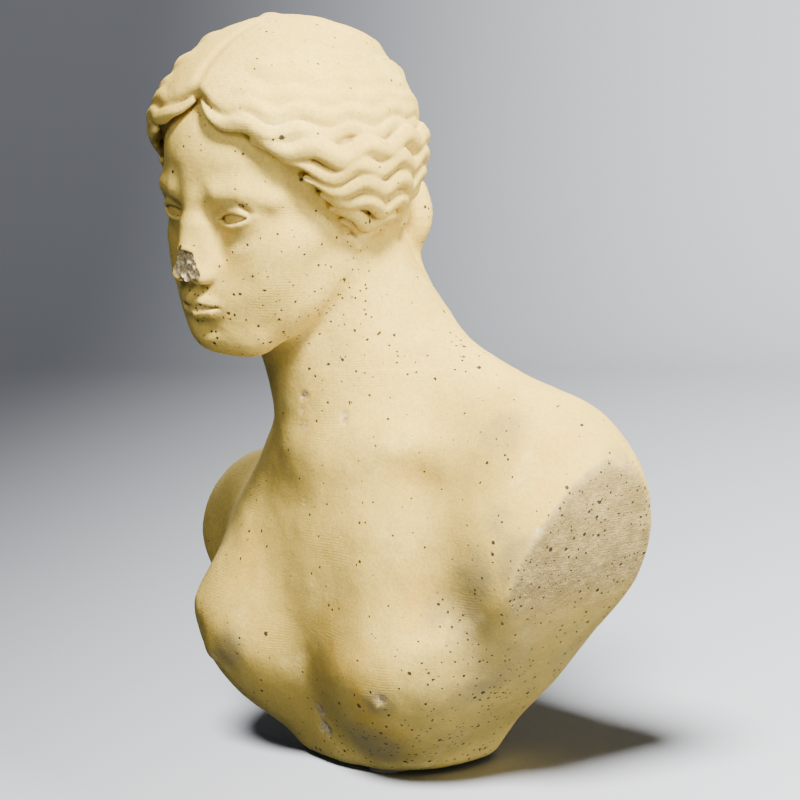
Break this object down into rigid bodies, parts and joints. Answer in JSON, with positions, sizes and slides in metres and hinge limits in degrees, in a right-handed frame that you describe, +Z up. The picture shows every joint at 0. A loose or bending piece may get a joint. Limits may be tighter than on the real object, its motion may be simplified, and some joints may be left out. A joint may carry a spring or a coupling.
{
  "type": "portrait bust",
  "caption": "Free-standing classical portrait bust of a young woman with bound wavy hair, cast stone with cut shoulders and a narrow foot.",
  "frame": {"origin": "on the resting plane, under the middle of the bust's bounding box", "axes": "+Z up, the chest faces -Y, the sitter's own left shoulder is towards +X"},
  "size_m": [0.2628, 0.1855, 0.3515],
  "materials": {
    "cast_stone": "matt, cream to ochre patina over a pale cement, pitted by air bubbles",
    "armature_steel": "plain drawn steel, dulled by cement",
    "tie_wire": "annealed black wire",
    "felt": "dark pressed felt"
  },
  "bodies": {
    "root": {"bust_casting": "cast_stone", "armature_rod": "armature_steel", "shoulder_bar": "armature_steel", "tie_wire": "tie_wire", "felt_pad_front_left": "felt", "felt_pad_front_right": "felt", "felt_pad_back_left": "felt", "felt_pad_back_right": "felt"}
  },
  "joints": []
}
